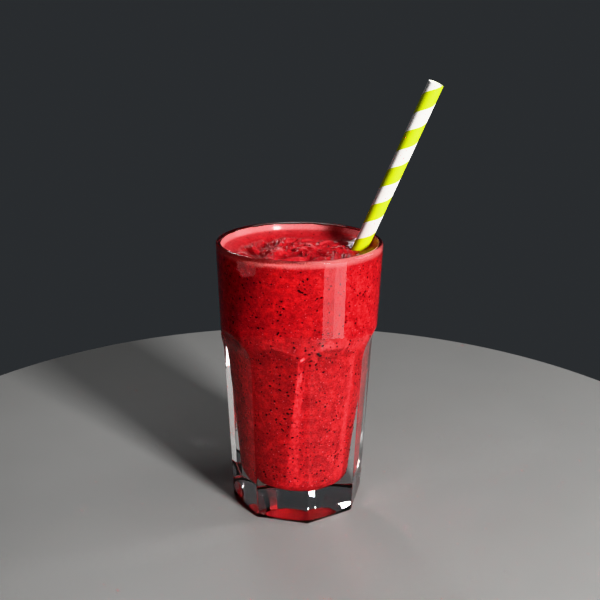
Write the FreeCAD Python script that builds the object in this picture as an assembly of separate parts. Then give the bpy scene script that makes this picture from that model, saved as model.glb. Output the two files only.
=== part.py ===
import FreeCAD, Part
import math
import os

# A strawberry smoothie in a pressed glass tumbler, with a striped paper straw standing in it.
# Millimetres, +Z up. The origin is the middle of the glass's foot, on the surface it stands on.
# The front is -Y and +X is to the right; an azimuth is measured from the front, towards +X.

# Glass: a round, slightly tapered body, cut below by flat panels that end in arches.
glass_height = 143.5
rim_radius = 42.5             # outside, just under the lip
lip_wall = 2.8                # the lip is a full round of this thickness
body_taper = 0.037            # outside radius lost for each millimetre down

# Panels: flat facets that narrow downwards and flare out into the round body at the top.
panel_count = 8
panel_turn = 8.85             # azimuth of the first ridge between two panels, degrees
foot_corner_radius = 35.25    # from the axis to a corner of the foot
ridge_taper = 0.0485          # corner radius gained for each millimetre up
flare_start = 85.5            # height where a flat panel begins to curve outwards
flare_radius = 30.0
foot_rounding = 1.3           # rounded edge round the foot
cutter_margin = 3.0           # how far a panel cutter runs past the body

# Underside: a shallow dome, so that the glass stands on a ring.
recess_radius = 28.5
recess_depth = 1.2

# Cavity: round and smooth, in a thick base and wall.
floor_height = 13.2
floor_radius = 20.0           # where the wall would meet the floor without its rounding
floor_rounding = 6.0
wall_lean = 6.6               # lean of the cavity wall at its foot, degrees; it opens further upwards

# Drink: it climbs a little at the wall, dips inside that, and stands in a soft swirl in the middle.
fill_gap = 4.0                # below the top of the lip, at the wall
climb_width = 5.0             # breadth of the slope at the wall
dip_depth = 3.2
swirl_radius = 33.0
swirl_rise = 2.0              # of the middle, above the dip
swirl_arms = 3
swirl_turn = 1.3              # turns that an arm makes from the middle to the edge
ridge_height = 0.9            # of an arm, above and below the mean
ripple_count = 7              # small waves round the middle
ripple_height = 0.35
surface_steps = 40            # grid that the drink's top is drawn through

# Straw: it leans on nothing but the drink, from low at the back to high at the right.
straw_diameter = 7.7
straw_wall = 0.45
entry_azimuth = 104.7         # where its axis passes the drink's level at the wall
entry_gap = 1.5               # from the cavity wall, at that level
end_height = 54.0             # of its lower end
end_azimuth = 183.5
end_gap = 0.6                 # from the cavity wall, at the lower end
straw_length = 182.0

panel_angle = math.radians(360.0 / panel_count)
drink_level = glass_height - fill_gap
lip_radius = lip_wall / 2
lip_foot = glass_height - lip_radius
inner_rim_radius = rim_radius - lip_wall


def polar(azimuth, radius, height):
    """A point at an azimuth in degrees from the front."""
    angle = math.radians(azimuth)
    return FreeCAD.Vector(radius * math.sin(angle), -radius * math.cos(angle), height)


def line(a, b):
    return Part.LineSegment(a, b).toShape()


def arc(a, middle, b):
    return Part.Arc(a, middle, b).toShape()


def parabola(a, knee, b):
    """From a to b; the knee is where the tangents at its two ends cross."""
    curve = Part.BezierCurve()
    curve.setPoles([a, knee, b])
    return curve.toShape()


def flat(radius, height):
    """A point of a profile, in the plane that is turned or extruded."""
    return FreeCAD.Vector(radius, 0, height)


def revolved(edges):
    face = Part.Face(Part.Wire(Part.sortEdges(edges)[0]))
    return face.revolve(FreeCAD.Vector(), FreeCAD.Vector(0, 0, 1), 360)


class CavityWall:
    """The cavity's wall in profile: a rounding above the floor, then a parabola up to the lip."""

    def __init__(self):
        lean = math.radians(wall_lean)
        run = floor_rounding / math.tan((math.pi / 2 + lean) / 2)
        self.slope = math.tan(lean)
        self.floor_end = flat(floor_radius - run, floor_height)
        self.foot = flat(floor_radius + run * math.sin(lean), floor_height + run * math.cos(lean))
        centre = flat(floor_radius - run, floor_height + floor_rounding)
        outward = flat(floor_radius, floor_height) - centre
        self.rounding_middle = centre + outward.normalize() * floor_rounding
        self.top = flat(inner_rim_radius, lip_foot)
        rise = self.top.z - self.foot.z
        self.opening = (self.top.x - self.foot.x - self.slope * rise) / rise ** 2

    def at(self, height):
        """The cavity's radius at a height above its rounding."""
        rise = height - self.foot.z
        return self.foot.x + self.slope * rise + self.opening * rise ** 2

    def edges(self):
        half_rise = (self.top.z - self.foot.z) / 2
        knee = self.foot + flat(self.slope * half_rise, half_rise)
        rounding = arc(self.floor_end, self.rounding_middle, self.foot)
        return [rounding, parabola(self.foot, knee, self.top)]


cavity_wall = CavityWall()


def body_radius(height):
    return rim_radius - body_taper * (lip_foot - height)


def panel_distance(height):
    """From the axis to the middle of a flat panel."""
    return (foot_corner_radius + ridge_taper * height) * math.cos(panel_angle / 2)


def panel_cutter():
    """What one panel takes away: all that lies outside its outline, along its whole breadth."""
    slope = math.atan2(panel_distance(flare_start) - panel_distance(0), flare_start)
    start = flat(panel_distance(flare_start), flare_start)
    centre = start + flat(math.cos(slope), -math.sin(slope)) * flare_radius
    far = body_radius(glass_height) + cutter_margin
    reach = far - centre.x
    end_angle = math.acos(-reach / flare_radius)
    middle_angle = (slope + end_angle) / 2

    def on_flare(angle):
        return centre + flat(-math.cos(angle), math.sin(angle)) * flare_radius

    end = on_flare(end_angle)
    foot_low = flat(panel_distance(foot_rounding) - foot_rounding, 0)
    foot_high = flat(panel_distance(foot_rounding), foot_rounding)
    tuck = foot_rounding * (1 - math.sqrt(0.5))
    foot_middle = flat(foot_high.x - tuck, tuck)
    outside = far + cutter_margin
    edges = [
        line(flat(foot_low.x, -cutter_margin), foot_low),
        arc(foot_low, foot_middle, foot_high),
        line(foot_high, start),
        arc(start, on_flare(middle_angle), end),
        line(end, flat(outside, end.z)),
        line(flat(outside, end.z), flat(outside, -cutter_margin)),
        line(flat(outside, -cutter_margin), flat(foot_low.x, -cutter_margin)),
    ]
    half_breadth = body_radius(glass_height)
    face = Part.Face(Part.Wire(edges))
    face.translate(FreeCAD.Vector(0, -half_breadth, 0))
    return face.extrude(FreeCAD.Vector(0, 2 * half_breadth, 0))


def turned(shape, azimuth):
    """A copy of a shape that was drawn along +X, turned to an azimuth."""
    copy = shape.copy()
    copy.rotate(FreeCAD.Vector(), FreeCAD.Vector(0, 0, 1), azimuth - 90)
    return copy


def make_glass():
    wall = [
        line(flat(0, floor_height), flat(0, recess_depth)),
        parabola(flat(0, recess_depth), flat(recess_radius / 2, recess_depth), flat(recess_radius, 0)),
        line(flat(recess_radius, 0), flat(body_radius(0), 0)),
        line(flat(body_radius(0), 0), flat(rim_radius, lip_foot)),
        arc(flat(rim_radius, lip_foot), flat(rim_radius - lip_radius, glass_height), cavity_wall.top),
    ]
    floor = line(flat(0, floor_height), cavity_wall.floor_end)
    glass = revolved(wall + cavity_wall.edges() + [floor])
    cutter = panel_cutter()
    for index in range(panel_count):
        glass = glass.cut(turned(cutter, panel_turn + (index + 0.5) * math.degrees(panel_angle)))
    return glass


def drink_height(x, y):
    """The height of the drink's top at a place."""
    radius = math.hypot(x, y)
    azimuth = math.atan2(x, -y)
    from_wall = max(cavity_wall.at(drink_level) - radius, 0)
    dip = dip_depth * (1 - math.exp(-(from_wall / climb_width) ** 2))
    share = min(radius / swirl_radius, 1)
    crown = math.cos(share * math.pi / 2) ** 2
    band = math.sin(share * math.pi) ** 2
    arms = math.cos(swirl_arms * azimuth - 2 * math.pi * swirl_turn * share)
    ripples = math.sin(ripple_count * azimuth + 2 * math.pi * share)
    return drink_level - dip + swirl_rise * crown + band * (ridge_height * arms + ripple_height * ripples)


def below_drink_top():
    """All that lies below the drink's top, over a square wider than the cavity."""
    half = body_radius(glass_height)
    places = [half * (2 * step / surface_steps - 1) for step in range(surface_steps + 1)]
    surface = Part.BSplineSurface()
    surface.interpolate([[FreeCAD.Vector(x, y, drink_height(x, y)) for y in places] for x in places])
    return surface.toShape().extrude(FreeCAD.Vector(0, 0, -glass_height))


def straw_line():
    """The straw's lower end and the direction that it points in."""
    half = straw_diameter / 2
    entry = polar(entry_azimuth, 0, drink_level)
    end = polar(end_azimuth, 0, end_height)
    spread = half
    for _ in range(3):
        # a leaning tube is a little wider at each level than its own diameter
        entry = polar(entry_azimuth, cavity_wall.at(drink_level) - entry_gap - spread, drink_level)
        end = polar(end_azimuth, cavity_wall.at(end_height) - end_gap - spread, end_height)
        direction = (entry - end).normalize()
        spread = half / direction.z
    return end, direction


def straw_rod(radius):
    end, direction = straw_line()
    return Part.makeCylinder(radius, straw_length, end, direction)


def make_straw():
    return straw_rod(straw_diameter / 2).cut(straw_rod(straw_diameter / 2 - straw_wall))


def make_smoothie(straw):
    floor = line(flat(0, floor_height), cavity_wall.floor_end)
    top = line(cavity_wall.top, flat(0, lip_foot))
    axis = line(flat(0, lip_foot), flat(0, floor_height))
    cavity = revolved([floor] + cavity_wall.edges() + [top, axis])
    return cavity.common(below_drink_top()).cut(straw)


def export(name, shape):
    solids = shape.Solids
    if len(solids) != 1:
        raise ValueError(name + " is " + str(len(solids)) + " solids")
    solid = solids[0]
    print(name, "volume", round(solid.Volume), "valid", solid.isValid(), solid.BoundBox)
    solid.exportStep("parts/" + name + ".step")


os.makedirs("parts", exist_ok=True)
straw = make_straw()
export("glass", make_glass())
export("smoothie", make_smoothie(straw))
export("straw", straw)
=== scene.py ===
import bpy
import math
from mathutils import Matrix, Vector, noise


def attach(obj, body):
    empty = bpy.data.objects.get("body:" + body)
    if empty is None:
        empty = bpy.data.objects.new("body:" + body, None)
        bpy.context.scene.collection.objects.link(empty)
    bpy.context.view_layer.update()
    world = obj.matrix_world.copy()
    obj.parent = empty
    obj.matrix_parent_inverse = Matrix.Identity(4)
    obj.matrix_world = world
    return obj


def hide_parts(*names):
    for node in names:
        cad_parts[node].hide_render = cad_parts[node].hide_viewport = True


# A strawberry smoothie in a pressed panel tumbler, with a striped paper straw.
# Sizes are in millimetres and turned into metres where a mesh is made. An azimuth runs from the
# front (-Y) towards +X.

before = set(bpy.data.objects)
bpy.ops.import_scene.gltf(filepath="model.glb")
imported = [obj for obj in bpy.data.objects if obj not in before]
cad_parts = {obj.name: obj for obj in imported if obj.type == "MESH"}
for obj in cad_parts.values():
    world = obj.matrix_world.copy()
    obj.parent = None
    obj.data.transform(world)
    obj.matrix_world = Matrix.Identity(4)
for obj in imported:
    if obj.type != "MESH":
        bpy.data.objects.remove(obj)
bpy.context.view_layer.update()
print("frame loaded")
noise.seed_set(3)            # noise_vector would change from run to run without it

mm = 0.001


def polar(azimuth, radius, height):
    angle = math.radians(azimuth)
    return Vector((radius * math.sin(angle), -radius * math.cos(angle), height))


def smoothMin(a, b, softness):
    share = max(softness - abs(a - b), 0) / softness
    return min(a, b) - share * share * softness / 4


def smoothStep(low, high, value):
    share = min(max((value - low) / (high - low), 0), 1)
    return share * share * (3 - 2 * share)


def span(start, end, steps):
    return [start + (end - start) * step / steps for step in range(1, steps + 1)]


def meshPiece(name, points, faces, smooth=True):
    mesh = bpy.data.meshes.new(name)
    mesh.from_pydata([point * mm for point in points], [], faces)
    mesh.validate()
    mesh.polygons.foreach_set("use_smooth", [smooth] * len(mesh.polygons))
    mesh.update()
    piece = bpy.data.objects.new(name, mesh)
    bpy.context.scene.collection.objects.link(piece)
    return piece


def ringMesh(name, rings):
    # rings follow one another along a profile; a ring of one point closes an end
    points, starts, faces = [], [], []
    for ring in rings:
        starts.append(len(points))
        points.extend(ring)
    for index in range(len(rings) - 1):
        low, high = rings[index], rings[index + 1]
        count = max(len(low), len(high))
        for column in range(count):
            after = (column + 1) % count
            corners = []
            for ring, start, places in ((low, starts[index], (column, after)),
                                        (high, starts[index + 1], (after, column))):
                corners += [start] if len(ring) == 1 else [start + place for place in places]
            faces.append(corners)
    return meshPiece(name, points, faces)


glassSizes = {
    "height": 143.5,
    "rimRadius": 42.5,
    "lipWall": 2.8,
    "bodyTaper": 0.037,      # radius lost for each millimetre down
    "panels": 8,
    "panelTurn": 8.85,       # azimuth of the first ridge
    "cornerRadius": 35.25,   # of the foot
    "cornerTaper": 0.0485,
    "flareStart": 85.5,      # where a panel curves out into the round body
    "flareRadius": 30.0,
    "footRounding": 1.3,
    "recessRadius": 28.5,    # shallow dome underneath
    "recessDepth": 1.2,
    "ridgeSoftness": 0.4,   # how far two faces melt into each other
    "archSoftness": 0.35,
    "columns": 40,           # of the mesh, in each panel
    "crowding": 0.75,        # how much closer the columns stand at a ridge
    "domeRings": 12,
    "archFoot": 88,          # the rings stand closest from here to the top of the arches
    "archTop": 103,
    "lipRings": 16,
    "wallRings": 36,
}

cavitySizes = {
    "floorHeight": 13.2,
    "floorRadius": 20.0,
    "floorRounding": 6.0,
    "wallLean": 6.6,         # at its foot, degrees
    "roundingRings": 8,
}


class CavityWall:
    def __init__(self):
        lean = math.radians(cavitySizes["wallLean"])
        rounding = cavitySizes["floorRounding"]
        floor, radius = cavitySizes["floorHeight"], cavitySizes["floorRadius"]
        run = rounding / math.tan((math.pi / 2 + lean) / 2)
        self.lean, self.slope = lean, math.tan(lean)
        self.floor, self.rounding = floor, rounding
        self.floorEnd = radius - run
        self.footRadius = radius + run * math.sin(lean)
        self.footHeight = floor + run * math.cos(lean)
        self.topRadius = glassSizes["rimRadius"] - glassSizes["lipWall"]
        self.topHeight = glassSizes["height"] - glassSizes["lipWall"] / 2
        rise = self.topHeight - self.footHeight
        self.opening = (self.topRadius - self.footRadius - self.slope * rise) / rise ** 2

    def at(self, height):
        rise = height - self.footHeight
        return self.footRadius + self.slope * rise + self.opening * rise ** 2

    def roundingPoints(self):
        # from the floor up to the foot of the wall
        points = []
        steps = cavitySizes["roundingRings"]
        for step in range(steps + 1):
            angle = (math.pi / 2 - self.lean) * step / steps
            points.append((self.floorEnd + self.rounding * math.sin(angle),
                           self.floor + self.rounding * (1 - math.cos(angle))))
        return points


cavityWall = CavityWall()


def bodyRadius(height):
    lipFoot = glassSizes["height"] - glassSizes["lipWall"] / 2
    return glassSizes["rimRadius"] - glassSizes["bodyTaper"] * (lipFoot - height)


def panelDistance(height):
    half = math.pi / glassSizes["panels"]

    def flatPart(level):
        return (glassSizes["cornerRadius"] + glassSizes["cornerTaper"] * level) * math.cos(half)

    start, radius = glassSizes["flareStart"], glassSizes["flareRadius"]
    if height <= start:
        return flatPart(height)
    slope = math.atan2(flatPart(start) - flatPart(0), start)
    centreX = flatPart(start) + math.cos(slope) * radius
    centreZ = start - math.sin(slope) * radius
    rise = height - centreZ
    return centreX - math.sqrt(max(radius * radius - rise * rise, 0))


def outerRadius(azimuth, height):
    step = 360 / glassSizes["panels"]
    offset = (azimuth - glassSizes["panelTurn"]) % step - step / 2
    neighbour = step - abs(offset)
    distance = panelDistance(height)
    own = distance / math.cos(math.radians(offset))
    other = distance / math.cos(math.radians(neighbour))
    faces = smoothMin(own, other, glassSizes["ridgeSoftness"])
    radius = smoothMin(faces, bodyRadius(height), glassSizes["archSoftness"])
    rounding = glassSizes["footRounding"]
    if height < rounding:
        radius -= rounding - math.sqrt(rounding ** 2 - (rounding - height) ** 2)
    return radius


def glassAzimuths():
    count, crowding = glassSizes["columns"], glassSizes["crowding"]
    step = 360 / glassSizes["panels"]
    azimuths = []
    for panel in range(glassSizes["panels"]):
        for column in range(count):
            share = column / count
            share -= crowding * math.sin(2 * math.pi * share) / (2 * math.pi)
            azimuths.append(glassSizes["panelTurn"] + step * (panel + share))
    return azimuths


def makeGlass():
    azimuths = glassAzimuths()
    lipRadius = glassSizes["lipWall"] / 2
    lipFoot = glassSizes["height"] - lipRadius
    rounding = glassSizes["footRounding"]
    recess, depth = glassSizes["recessRadius"], glassSizes["recessDepth"]

    def roundRing(radius, height):
        return [polar(azimuth, radius, height) for azimuth in azimuths]

    rings = [[Vector((0, 0, depth))]]
    for share in span(0, 1, glassSizes["domeRings"]):
        rings.append(roundRing(recess * share, depth * (1 - share * share)))
    for share in (0.4, 0.8):
        rings.append([polar(azimuth, recess + (outerRadius(azimuth, 0) - recess) * share, 0)
                      for azimuth in azimuths])
    heights = [rounding * (1 - math.cos(angle)) for angle in span(-math.pi / 12, math.pi / 2, 7)]
    heights[0] = 0
    archFoot, archTop = glassSizes["archFoot"], glassSizes["archTop"]
    # each stretch of the outside by the height that it reaches and its count of rings
    low = rounding
    for top, count in ((archFoot - 4, 18), (archFoot, 6), (archTop, 44), (lipFoot, 12)):
        heights += span(low, top, count)
        low = top
    for height in heights:
        rings.append([polar(azimuth, outerRadius(azimuth, height), height) for azimuth in azimuths])
    middle = glassSizes["rimRadius"] - lipRadius
    for angle in span(0, math.pi, glassSizes["lipRings"]):
        rings.append(roundRing(middle + lipRadius * math.cos(angle),
                               lipFoot + lipRadius * math.sin(angle)))
    for height in span(cavityWall.topHeight, cavityWall.footHeight, glassSizes["wallRings"]):
        rings.append(roundRing(cavityWall.at(height), height))
    for radius, height in reversed(cavityWall.roundingPoints()[:-1]):
        rings.append(roundRing(radius, height))
    for share in (0.66, 0.33):
        rings.append(roundRing(cavityWall.floorEnd * share, cavityWall.floor))
    rings.append([Vector((0, 0, cavityWall.floor))])
    return ringMesh("glassTumbler", rings)


drinkSizes = {
    "fillGap": 4.0,
    "climbWidth": 5.0,
    "dipDepth": 3.2,
    "swirlRadius": 33.0,
    "swirlRise": 2.0,
    "swirlArms": 3,
    "swirlTurn": 1.3,
    "armHeight": 0.5,
    "intoWall": 0.15,        # so that no air shows between drink and glass
    "intoLip": 0.8,          # more, at the round of the lip
    "lipStart": 1.5,         # above the level
    "columns": 360,
    "wallRings": 50,
    "filmRings": 8,
    "coatRings": 9,
    "topRings": 96,
    "lumpyRadius": 27.0,     # inside this the top is lumpy
    "calmRadius": 34.0,      # outside this it is smooth
    "twist": 0.9,            # of the lumps, radians over the swirl
    "twistStart": 0.4,
    "stretch": 1.35,
    "warpSize": 14.0,
    "warpReach": 5.0,
    "foldWarp": 1.6,
    "lumpHeight": 2.4,
    "lumpSize": 9.0,
    "foldHeight": 1.1,
    "foldSize": 4.2,
    "grainHeight": 0.22,
    "grainSize": 1.3,
    "filmRise": 3.3,         # thin coat left on the wall above the drink
    "filmThickness": 0.5,
    "filmWave": 0.35,        # how uneven its upper edge is
    "waveSize": 2.5,
    "waveCap": 0.3,
    "filmFoot": 1.2,         # below the level
    "frothLow": 0.8,         # the drink grows paler from here, below the level
    "frothHigh": 1.4,        # to here, above it
    "frothSide": 0.9,
    "frothTop": 0.6,
    "frothEdge": 0.12,
    "frothReach": 3.0,
}


def drinkHeight(x, y):
    # the same soft swirl as the solid's, with lumps, folds and grain on it
    # gives the height, and the lumps alone
    level = glassSizes["height"] - drinkSizes["fillGap"]
    radius = math.hypot(x, y)
    azimuth = math.atan2(x, -y)
    fromWall = max(cavityWall.at(level) - radius, 0)
    dip = drinkSizes["dipDepth"] * (1 - math.exp(-(fromWall / drinkSizes["climbWidth"]) ** 2))
    share = min(radius / drinkSizes["swirlRadius"], 1)
    crown = math.cos(share * math.pi / 2) ** 2
    band = math.sin(share * math.pi) ** 2
    turns = 2 * math.pi * drinkSizes["swirlTurn"] * share
    arms = math.cos(drinkSizes["swirlArms"] * azimuth - turns)
    height = level - dip + drinkSizes["swirlRise"] * crown + band * drinkSizes["armHeight"] * arms
    inside = smoothStep(drinkSizes["calmRadius"], drinkSizes["lumpyRadius"], radius)
    turn = drinkSizes["twist"] * share + drinkSizes["twistStart"]
    turnedX = x * math.cos(turn) - y * math.sin(turn)
    turnedY = x * math.sin(turn) + y * math.cos(turn)
    place = Vector((turnedX, turnedY * drinkSizes["stretch"], 3.0))
    warp = noise.noise_vector(place / drinkSizes["warpSize"]) * drinkSizes["warpReach"]
    lumps = noise.noise((place + warp) / drinkSizes["lumpSize"])
    foldPlace = (place + warp * drinkSizes["foldWarp"]) / drinkSizes["foldSize"] + Vector((9, 4, 2))
    folds = 1 - 2 * abs(noise.noise(foldPlace))
    grain = noise.fractal(place / drinkSizes["grainSize"], 0.8, 2.0, 3)
    relief = inside * (drinkSizes["lumpHeight"] * lumps + drinkSizes["foldHeight"] * (folds - 0.5))
    relief += (0.25 + 0.75 * inside) * drinkSizes["grainHeight"] * grain
    return height + relief, relief


def insideAt(height):
    # the glass's inner radius, on over the round of the lip
    lip = glassSizes["lipWall"] / 2
    over = max(height - (glassSizes["height"] - lip), 0)
    wall = cavityWall.at(min(height, glassSizes["height"] - lip))
    return wall + lip - math.sqrt(lip * lip - over * over)


def makeSmoothie():
    columns, into = drinkSizes["columns"], drinkSizes["intoWall"]
    azimuths = [360 * column / columns for column in range(columns)]
    level = glassSizes["height"] - drinkSizes["fillGap"]
    foot, lipStart = level - drinkSizes["filmFoot"], level + drinkSizes["lipStart"]
    floor = cavityWall.floor - into
    wall = []
    for share in (0.33, 0.66):
        wall.append((cavityWall.floorEnd * share, floor))
    for radius, height in cavityWall.roundingPoints():
        reach = (radius - cavityWall.floorEnd) / (cavityWall.footRadius - cavityWall.floorEnd)
        wall.append((radius + into * reach, height - into * (1 - reach)))
    for height in span(cavityWall.footHeight, foot, drinkSizes["wallRings"]):
        wall.append((cavityWall.at(height) + into, height))
    edge = []
    for azimuth in azimuths:
        place = polar(azimuth, 12.0, 0)
        wave = noise.fractal(place / drinkSizes["waveSize"], 1.0, 2.0, 3)
        wave = min(wave, drinkSizes["waveCap"])
        edge.append(level + drinkSizes["filmRise"] + drinkSizes["filmWave"] * wave)
    rings = [[Vector((0, 0, floor))]]
    rings += [[polar(azimuth, radius, height) for azimuth in azimuths] for radius, height in wall]
    for share in span(0, 1, drinkSizes["filmRings"]):
        ring = []
        for azimuth, top in zip(azimuths, edge):
            height = foot + (top - foot) * share
            atLip = smoothStep(lipStart, level + drinkSizes["filmRise"], height)
            deep = into + drinkSizes["intoLip"] * atLip
            ring.append(polar(azimuth, insideAt(height) + deep, height))
        rings.append(ring)
    topStart = len(rings)
    for share in span(0, 1, drinkSizes["coatRings"]):
        ring = []
        for azimuth, top in zip(azimuths, edge):
            height = top - (top - level) * share
            thickness = drinkSizes["filmThickness"] * (0.2 + 0.8 * share * share)
            ring.append(polar(azimuth, insideAt(height) - thickness, height))
        rings.append(ring)
    outermost = cavityWall.at(level) - drinkSizes["filmThickness"]
    steps = drinkSizes["topRings"]
    for step in range(1, steps):
        radius = outermost * (1 - step / steps)
        ring = []
        for azimuth in azimuths:
            point = polar(azimuth, radius, 0)
            point.z = drinkHeight(point.x, point.y)[0]
            ring.append(point)
        rings.append(ring)
    rings.append([Vector((0, 0, drinkHeight(0, 0)[0]))])
    piece = ringMesh("smoothieDrink", rings)
    topFirst = sum(len(ring) for ring in rings[:topStart])
    # marks the top of the drink, which gets a wet coat and bumps and is also darkened by painted
    # shade
    wetShadedTop = piece.data.attributes.new("wetShadedTop", "FLOAT", "POINT")
    froth = piece.data.attributes.new("froth", "FLOAT", "POINT")
    crest = piece.data.attributes.new("crest", "FLOAT", "POINT")
    for index, vertex in enumerate(piece.data.vertices):
        x, y, z = vertex.co / mm
        radius = math.hypot(x, y)
        rise = smoothStep(level - drinkSizes["frothLow"], level + drinkSizes["frothHigh"], z)
        if index >= topFirst:
            wetShadedTop.data[index].value = 1.0
            crest.data[index].value = drinkHeight(x, y)[1]
            inwards = max(outermost - radius, 0) / drinkSizes["frothReach"]
            froth.data[index].value = max(drinkSizes["frothEdge"] * math.exp(-inwards),
                                          drinkSizes["frothTop"] * rise)
        else:
            froth.data[index].value = drinkSizes["frothSide"] * rise
    return piece


strawSizes = {
    "diameter": 7.7,
    "wall": 0.45,
    "entryAzimuth": 104.7,
    "entryGap": 1.5,
    "endHeight": 54.0,
    "endAzimuth": 183.5,
    "endGap": 0.6,
    "length": 182.0,
    "pitch": 20.35,          # of the stripes, along the straw
    "greenShare": 0.505,
    "phase": 0.684,
    "stripeBlur": 0.008,
    "columns": 72,
    "outerRings": 60,
    "innerRings": 30,
    "edgeRounding": 0.08,
}


def strawLine():
    half = strawSizes["diameter"] / 2
    level = glassSizes["height"] - drinkSizes["fillGap"]
    low = strawSizes["endHeight"]
    spread = half
    for _ in range(3):
        entry = polar(strawSizes["entryAzimuth"],
                      cavityWall.at(level) - strawSizes["entryGap"] - spread, level)
        end = polar(strawSizes["endAzimuth"],
                    cavityWall.at(low) - strawSizes["endGap"] - spread, low)
        direction = (entry - end).normalized()
        spread = half / direction.z
    return end, direction


strawEnd, strawDirection = strawLine()


def makeStraw():
    # drawn along its own axis, then laid on the line that the solid follows
    outer = strawSizes["diameter"] / 2
    inner = outer - strawSizes["wall"]
    length, edge = strawSizes["length"], strawSizes["edgeRounding"]
    columns = strawSizes["columns"]
    side = Vector((0, -1, 0))
    side = (side - strawDirection * side.dot(strawDirection)).normalized()
    across = strawDirection.cross(side)
    outerRings, innerRings = strawSizes["outerRings"], strawSizes["innerRings"]
    profile = [(inner, 0), (outer, 0)]
    profile += [(outer, height) for height in span(0, length - edge, outerRings)]
    profile += [(outer - edge, length), (inner + edge, length), (inner, length - edge)]
    profile += [(inner, height) for height in span(length - edge, 0, innerRings)][:-1]
    points, faces, turns, lengths = [], [], [], []
    for radius, height in profile:
        for column in range(columns):
            angle = 2 * math.pi * column / columns
            points.append(strawEnd + strawDirection * height
                          + (side * math.cos(angle) + across * math.sin(angle)) * radius)
    for index in range(len(profile)):
        following = (index + 1) % len(profile)
        for column in range(columns):
            after = (column + 1) % columns
            faces.append([index * columns + column, index * columns + after,
                          following * columns + after, following * columns + column])
            turns.append([column, column + 1, column + 1, column])
            lengths.append([profile[index][1], profile[index][1],
                            profile[following][1], profile[following][1]])
    piece = meshPiece("paperStraw", points, faces)
    layer = piece.data.uv_layers.new(name="paperMap")
    corner = 0
    for turn, height in zip(turns, lengths):
        for place, along in zip(turn, height):
            layer.data[corner].uv = (place / columns, along / strawSizes["pitch"])
            corner += 1
    inside = piece.data.attributes.new("inside", "FLOAT", "FACE")
    firstInner = (len(profile) - innerRings - 1) * columns
    for index in range(len(piece.data.polygons)):
        inside.data[index].value = 1.0 if index >= firstInner or index < columns else 0.0
    piece.data.set_sharp_from_angle(angle=math.radians(40))
    return piece


class Wire:
    # wraps a socket, so that shader maths reads as plain sums
    def __init__(self, tree, socket):
        self.tree, self.socket = tree, socket

    def math(self, operation, first, second):
        return addNode(self.tree, "ShaderNodeMath", {"operation": operation},
                       {"Value": first, "Value_001": second})

    def fraction(self):
        return addNode(self.tree, "ShaderNodeMath", {"operation": "FRACT"}, {"Value": self})

    def __add__(self, other):
        return self.math("ADD", self, other)

    def __radd__(self, other):
        return self.math("ADD", other, self)

    def __sub__(self, other):
        return self.math("SUBTRACT", self, other)

    def __rsub__(self, other):
        return self.math("SUBTRACT", other, self)

    def __mul__(self, other):
        return self.math("MULTIPLY", self, other)

    def __rmul__(self, other):
        return self.math("MULTIPLY", other, self)


def socketOf(sockets, name):
    for socket in sockets:
        if socket.identifier == name:
            return socket
    return sockets[name]


def addNode(tree, kind, settings=None, values=None, output=0):
    node = tree.nodes.new(kind)
    for name, value in (settings or {}).items():
        setattr(node, name, value)
    for name, value in (values or {}).items():
        socket = socketOf(node.inputs, name)
        if isinstance(value, Wire):
            tree.links.new(value.socket, socket)
        else:
            socket.default_value = value
    outlet = node.outputs[output] if isinstance(output, int) else socketOf(node.outputs, output)
    return Wire(tree, outlet)


class Finish:
    def __init__(self, name):
        self.material = bpy.data.materials.new(name)
        self.material.use_nodes = True
        self.tree = self.material.node_tree
        self.tree.nodes.clear()

    def node(self, kind, settings=None, values=None, output=0):
        return addNode(self.tree, kind, settings, values, output)

    def places(self):
        # millimetres on the object
        coordinates = self.node("ShaderNodeTexCoord", output="Object")
        return self.node("ShaderNodeVectorMath", {"operation": "SCALE"},
                         {"Vector": coordinates, "Scale": 1000.0})

    def noise(self, places, size, detail=2.0, roughness=0.5, distortion=0.0):
        return self.node("ShaderNodeTexNoise", {"noise_dimensions": "3D"},
                         {"Vector": places, "Scale": 1 / size, "Detail": detail,
                          "Roughness": roughness, "Distortion": distortion}, "Fac")

    def between(self, value, low, high):
        return self.node("ShaderNodeMapRange", {"interpolation_type": "SMOOTHSTEP"},
                         {"Value": value, "From Min": low, "From Max": high}, "Result")

    def blend(self, factor, first, second):
        return self.node("ShaderNodeMix", {"data_type": "RGBA"},
                         {"Factor_Float": factor, "A_Color": opaque(first),
                          "B_Color": opaque(second)}, "Result_Color")

    def attribute(self, name):
        return self.node("ShaderNodeAttribute", {"attribute_name": name}, output="Fac")

    def bump(self, height, distance):
        return self.node("ShaderNodeBump", None,
                         {"Height": height, "Distance": distance * mm, "Strength": 1.0}, "Normal")

    def surface(self, values):
        shader = self.node("ShaderNodeBsdfPrincipled", None, values, "BSDF")
        output = self.tree.nodes.new("ShaderNodeOutputMaterial")
        self.tree.links.new(shader.socket, output.inputs["Surface"])
        return self.material


def opaque(colour):
    return colour if isinstance(colour, Wire) else (*colour, 1)


def glassFinish():
    finish = Finish("clearPressedGlass")
    places = finish.places()
    waves = finish.noise(places, 16.0, 1.0)
    ripples = finish.noise(places, 5.0, 0.0)
    normal = finish.bump(waves * 0.8 + ripples * 0.12, 0.12)
    return finish.surface({"Base Color": (0.985, 0.992, 0.99, 1), "Roughness": 0.0, "IOR": 1.5,
                           "Transmission Weight": 1.0, "Normal": normal})


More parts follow.
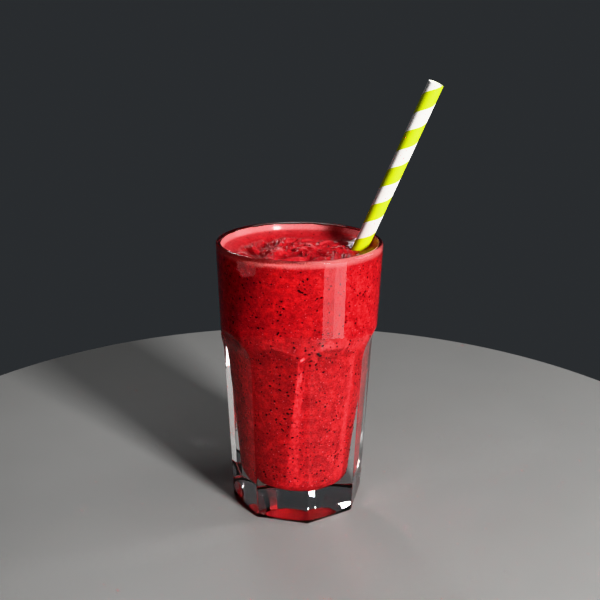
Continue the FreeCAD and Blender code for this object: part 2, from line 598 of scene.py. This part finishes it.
def smoothieFinish():
    finish = Finish("strawberryPulp")
    places = finish.places()
    clouds = finish.between(finish.noise(places, 7.0, 3.0, 0.6, 0.6), 0.36, 0.64)
    pulp = finish.between(finish.noise(places, 2.4, 3.0, 0.65), 0.36, 0.64)
    grain = finish.between(finish.noise(places, 0.7, 2.0, 0.6), 0.36, 0.64)
    colour = finish.blend(clouds, (0.55, 0.022, 0.028), (0.80, 0.040, 0.048))
    colour = finish.blend((1 - pulp) * 0.62, colour, (0.27, 0.009, 0.013))
    colour = finish.blend(grain * 0.28, colour, (0.92, 0.13, 0.15))
    crest = finish.attribute("crest")
    # painted shade: the lumpy top turns dark red in its crevices, darker the lower the relief
    colour = finish.blend(finish.between(crest, 0.2, -1.1) * 0.85, colour, (0.13, 0.004, 0.007))
    colour = finish.blend(finish.between(crest, 0.5, 1.6) * 0.3, colour, (0.92, 0.20, 0.22))
    wetShadedTop = finish.attribute("wetShadedTop")
    # painted shade: the whole top of the drink is darkened towards deep red, as if less light fell
    # on it
    colour = finish.blend(wetShadedTop * 0.68, colour, (0.22, 0.012, 0.016))
    froth = finish.attribute("froth")
    colour = finish.blend(froth * (0.6 + 0.4 * grain), colour, (0.92, 0.36, 0.36))
    relief = finish.noise(places, 0.9, 3.0, 0.6)
    normal = finish.bump(relief * wetShadedTop, 0.35)
    return finish.surface({"Base Color": colour, "Roughness": 0.45, "Specular IOR Level": 0.12,
                           "Coat Weight": wetShadedTop * 0.9, "Coat Roughness": 0.12, "Coat IOR": 1.38,
                           "Normal": normal})


def strawFinish():
    finish = Finish("stripedPaper")
    places = finish.places()
    spot = finish.node("ShaderNodeUVMap", {"uv_map": "paperMap"}, output="UV")
    turn = finish.node("ShaderNodeSeparateXYZ", None, {"Vector": spot}, "X")
    along = finish.node("ShaderNodeSeparateXYZ", None, {"Vector": spot}, "Y")
    phase = (along - turn + strawSizes["phase"]).fraction()
    share, soft = strawSizes["greenShare"], strawSizes["stripeBlur"]
    stripe = finish.between(phase, 0.0, soft) - finish.between(phase, share, share + soft)
    fibres = finish.noise(places, 0.35, 3.0, 0.6)
    blotches = finish.noise(places, 2.2, 2.0)
    white = finish.blend(blotches, (0.86, 0.85, 0.82), (0.93, 0.92, 0.90))
    green = finish.blend(blotches, (0.49, 0.58, 0.002), (0.55, 0.63, 0.004))
    outside = 1 - finish.attribute("inside")
    colour = finish.blend(stripe * outside, white, green)
    normal = finish.bump(fibres, 0.03)
    return finish.surface({"Base Color": colour, "Roughness": 0.55, "Normal": normal})


def seedFinish():
    finish = Finish("darkSeed")
    places = finish.places()
    colour = finish.blend(finish.noise(places, 1.3), (0.015, 0.003, 0.004), (0.09, 0.008, 0.01))
    return finish.surface({"Base Color": colour, "Roughness": 0.5, "Specular IOR Level": 0.2})


def bubbleFinish():
    finish = Finish("paleFroth")
    places = finish.places()
    colour = finish.blend(finish.noise(places, 0.8), (0.72, 0.09, 0.11), (0.9, 0.3, 0.33))
    return finish.surface({"Base Color": colour, "Roughness": 0.3, "Specular IOR Level": 0.3})


def flakeShape(name, length, width, thickness):
    # a small rounded drop, pointed at one end
    points, faces = [], []
    rings, sides = 4, 6
    points.append(Vector((0, -length / 2, 0)))
    for ring in range(1, rings):
        share = ring / rings
        reach = math.sin(math.pi * share) ** 0.8 * (1.15 - 0.45 * share)
        for side in range(sides):
            angle = 2 * math.pi * side / sides
            points.append(Vector((math.cos(angle) * width / 2 * reach,
                                  (share - 0.5) * length,
                                  math.sin(angle) * thickness / 2 * reach)))
    points.append(Vector((0, length / 2, 0)))
    last = len(points) - 1
    for side in range(sides):
        after = (side + 1) % sides
        faces.append([0, 1 + side, 1 + after])
        for ring in range(rings - 2):
            start = 1 + ring * sides
            faces.append([start + side, start + sides + side, start + sides + after, start + after])
        start = 1 + (rings - 2) * sides
        faces.append([start + side, last, start + after])
    return meshPiece(name, points, faces)


def scatterTree(name, finish):
    tree = bpy.data.node_groups.new(name, "GeometryNodeTree")
    face = tree.interface
    face.new_socket("Surface", in_out="INPUT", socket_type="NodeSocketGeometry")
    for label, kind in (("Shape", "Object"), ("Density", "Float"), ("Smallest", "Float"),
                        ("Largest", "Float"), ("Sink", "Float"), ("Seed", "Int")):
        face.new_socket(label, in_out="INPUT", socket_type="NodeSocket" + kind)
    face.new_socket("Pieces", in_out="OUTPUT", socket_type="NodeSocketGeometry")
    group = tree.nodes.new("NodeGroupInput")

    def given(label):
        return Wire(tree, group.outputs[label])

    points = addNode(tree, "GeometryNodeDistributePointsOnFaces", {"distribute_method": "RANDOM"},
                     {"Mesh": given("Surface"), "Density": given("Density"), "Seed": given("Seed")})
    scatter = points.socket.node
    turn = Wire(tree, scatter.outputs["Rotation"])
    outward = Wire(tree, scatter.outputs["Normal"])
    spin = addNode(tree, "FunctionNodeRandomValue", {"data_type": "FLOAT"},
                   {"Min_001": 0.0, "Max_001": 2 * math.pi, "Seed": 11}, 1)
    chance = addNode(tree, "FunctionNodeRandomValue", {"data_type": "FLOAT"},
                     {"Min_001": 0.0, "Max_001": 1.0, "Seed": 23}, 1)
    size = given("Smallest") + (given("Largest") - given("Smallest")) * chance * chance
    axis = addNode(tree, "FunctionNodeAxisAngleToRotation", None,
                   {"Axis": (0, 0, 1), "Angle": spin}, "Rotation")
    turned = addNode(tree, "FunctionNodeRotateRotation", {"rotation_space": "LOCAL"},
                     {"Rotation": turn, "Rotate By": axis}, "Rotation")
    back = addNode(tree, "ShaderNodeVectorMath", {"operation": "SCALE"},
                   {"Vector": outward, "Scale": given("Sink")})
    moved = addNode(tree, "GeometryNodeSetPosition", None, {"Geometry": points, "Offset": back})
    shape = addNode(tree, "GeometryNodeObjectInfo", {"transform_space": "ORIGINAL"},
                    {"Object": given("Shape")}, "Geometry")
    placed = addNode(tree, "GeometryNodeInstanceOnPoints", None,
                     {"Points": moved, "Instance": shape, "Rotation": turned, "Scale": size})
    real = addNode(tree, "GeometryNodeRealizeInstances", None, {"Geometry": placed})
    painted = addNode(tree, "GeometryNodeSetMaterial", None, {"Geometry": real, "Material": finish})
    outlet = tree.nodes.new("NodeGroupOutput")
    tree.links.new(painted.socket, outlet.inputs["Pieces"])
    return tree


def scattered(name, surface, shape, finish, sizes):
    holder = bpy.data.objects.new(name, surface.copy())
    bpy.context.scene.collection.objects.link(holder)
    tree = scatterTree(name + "Tree", finish)
    modifier = holder.modifiers.new("scatter", "NODES")
    modifier.node_group = tree
    values = {"Shape": shape, "Density": sizes["density"] / mm ** 2, "Smallest": sizes["smallest"],
              "Largest": sizes["largest"], "Sink": sizes["sink"] * mm, "Seed": sizes["seed"]}
    for item in tree.interface.items_tree:
        if item.item_type == "SOCKET" and item.in_out == "INPUT" and item.name in values:
            modifier[item.identifier] = values[item.name]
    graph = bpy.context.evaluated_depsgraph_get()
    graph.update()
    mesh = bpy.data.meshes.new_from_object(holder.evaluated_get(graph))
    holder.modifiers.clear()
    holder.data = mesh
    mesh.name = name
    mesh.materials.clear()
    mesh.materials.append(finish)
    mesh.polygons.foreach_set("material_index", [0] * len(mesh.polygons))
    mesh.polygons.foreach_set("use_smooth", [True] * len(mesh.polygons))
    print(name, len(mesh.polygons), "faces")
    return holder


def surfacePart(name, source, keep):
    # a copy of the faces of a piece that pass a test on their centres
    points = [vertex.co.copy() / mm for vertex in source.data.vertices]
    faces = [list(face.vertices) for face in source.data.polygons if keep(face.center / mm)]
    used = sorted({corner for face in faces for corner in face})
    place = {old: new for new, old in enumerate(used)}
    mesh = bpy.data.meshes.new(name)
    mesh.from_pydata([points[old] * mm for old in used], [],
                     [[place[corner] for corner in face] for face in faces])
    mesh.update()
    return mesh


glass = makeGlass()
glass.data.materials.append(glassFinish())
print("glass made", len(glass.data.polygons))

smoothie = makeSmoothie()
smoothie.data.materials.append(smoothieFinish())
print("smoothie made", len(smoothie.data.polygons))

straw = makeStraw()
straw.data.materials.append(strawFinish())
print("straw made", len(straw.data.polygons))

drinkLevel = glassSizes["height"] - drinkSizes["fillGap"]
surfaceSizes = {
    "belowLevel": 1.0,       # where the side's seeds end
    "aboveFloor": 5.4,       # lowest height at which the wall's lean is asked for
    "wallSlack": 0.5,
    "topDepth": 6.0,
    "topSlack": 0.6,
}


def onSide(centre):
    lowest = cavitySizes["floorHeight"] + surfaceSizes["aboveFloor"]
    wall = cavityWall.at(max(centre.z, lowest)) - surfaceSizes["wallSlack"]
    below = centre.z < drinkLevel - surfaceSizes["belowLevel"]
    return below and math.hypot(centre.x, centre.y) > wall


def onTop(centre):
    wall = cavityWall.at(drinkLevel) - surfaceSizes["topSlack"]
    near = centre.z > drinkLevel - surfaceSizes["topDepth"]
    return near and math.hypot(centre.x, centre.y) < wall


sideSurface = surfacePart("drinkSide", smoothie, onSide)
topSurface = surfacePart("drinkTop", smoothie, onTop)

seedSizes = {"density": 0.09, "smallest": 0.55, "largest": 1.5, "sink": 0.05, "seed": 5}
seedShape = flakeShape("seedShape", 1.15, 0.8, 0.5)
seedLook = seedFinish()
sideSeeds = scattered("berrySeeds", sideSurface, seedShape, seedLook, seedSizes)

bubbleSizes = {"density": 0.05, "smallest": 0.35, "largest": 1.0, "sink": 0.02, "seed": 8}
bubbleShape = flakeShape("bubbleShape", 0.8, 0.8, 0.5)
sideBubbles = scattered("frothSpecks", sideSurface, bubbleShape, bubbleFinish(), bubbleSizes)

topSeedSizes = {"density": 0.03, "smallest": 0.5, "largest": 1.0, "sink": 0.0, "seed": 3}
topSeeds = scattered("topSeeds", topSurface, seedShape, seedLook, topSeedSizes)
for helper in (seedShape, bubbleShape):
    bpy.data.objects.remove(helper)

# metres here; each light is a rectangle, placed by azimuth, distance from the axis and height
stageSizes = {
    "floorRadius": 0.27,
    "floorSides": 128,
    "roomColour": (0.9, 0.95, 1.0, 1),
    "roomStrength": 0.09,
    "aimHeight": 0.08,
    "gamma": 0.82,
    "lights": {
        # name: azimuth, distance, height, width, tallness, power
        "keyBox": (37, 1.0, 0.56, 0.17, 0.17, 30),
        "sideBox": (100, 0.9, 0.4, 0.5, 0.6, 4),
        "stripBox": (50, 1.0, -0.3, 0.6, 0.5, 2.2),      # the tall glare on the right
        "stripCore": (58, 1.0, -0.2, 0.3, 0.32, 0.5),
        "leftBox": (-71, 1.0, -0.175, 0.8, 0.07, 0.17),
        "backBox": (-160, 0.9, 0.75, 0.24, 0.16, 1.6),
        "topBox": (60, 0.5, 1.3, 0.7, 0.7, 3.5),
    },
}


def makeFloor():
    reach, sides = stageSizes["floorRadius"] / mm, stageSizes["floorSides"]
    ring = [Vector((reach * math.cos(angle), reach * math.sin(angle), 0))
            for angle in span(0, 2 * math.pi, sides)]
    floor = meshPiece("studioFloor", ring, [list(range(sides))], smooth=False)
    finish = Finish("paleFloor")
    cloudy = finish.noise(finish.places(), 60.0)
    colour = finish.blend(cloudy, (0.235, 0.232, 0.227), (0.255, 0.252, 0.247))
    floor.data.materials.append(finish.surface({"Base Color": colour, "Roughness": 0.5}))


def makeLights():
    world = bpy.data.worlds.new("studioRoom")
    bpy.context.scene.world = world
    world.use_nodes = True
    room = world.node_tree.nodes["Background"].inputs
    room["Color"].default_value = stageSizes["roomColour"]
    room["Strength"].default_value = stageSizes["roomStrength"]
    target = Vector((0, 0, stageSizes["aimHeight"]))
    for name, (azimuth, distance, height, width, tall, power) in stageSizes["lights"].items():
        data = bpy.data.lights.new(name, "AREA")
        data.shape = "RECTANGLE"
        data.size, data.size_y = width, tall
        data.energy = power
        light = bpy.data.objects.new(name, data)
        light.location = polar(azimuth, distance, height)
        light.rotation_mode = "QUATERNION"
        light.rotation_quaternion = (target - light.location).to_track_quat("-Z", "Y")
        light.visible_camera = False
        bpy.context.scene.collection.objects.link(light)


cameraSizes = {
    "place": (0.0005, -0.450, 0.2565),
    "down": 17.87,           # degrees below level
    "roll": 0.43,
    "sensor": 36,
    "lens": 54.66,
}


def makeCamera():
    data = bpy.data.cameras.new("viewCamera")
    data.sensor_width = cameraSizes["sensor"]
    data.lens = cameraSizes["lens"]
    data.clip_start, data.clip_end = 0.01, 10
    camera = bpy.data.objects.new("viewCamera", data)
    tilt = Matrix.Rotation(math.radians(90 - cameraSizes["down"]), 4, "X")
    roll = Matrix.Rotation(math.radians(cameraSizes["roll"]), 4, "Z")
    camera.matrix_world = Matrix.Translation(cameraSizes["place"]) @ tilt @ roll
    bpy.context.scene.collection.objects.link(camera)
    bpy.context.scene.camera = camera


makeFloor()
makeLights()
makeCamera()
scene = bpy.context.scene
scene.view_settings.view_transform = "Khronos PBR Neutral"
scene.view_settings.gamma = stageSizes["gamma"]
scene.cycles.use_guiding = True
scene.cycles.blur_glossy = 0.0             # keeps the light that the ridges gather sharp
scene.cycles.sample_clamp_indirect = 0.0
print("stage made")

for piece, node, slot in ((glass, "glass", "glass"), (smoothie, "smoothie", "smoothie"),
                          (straw, "straw", "straw")):
    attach(piece, "root")
    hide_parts(node)
for piece, slot in ((sideSeeds, "seeds"), (topSeeds, "seeds"), (sideBubbles, "bubbles")):
    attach(piece, "root")
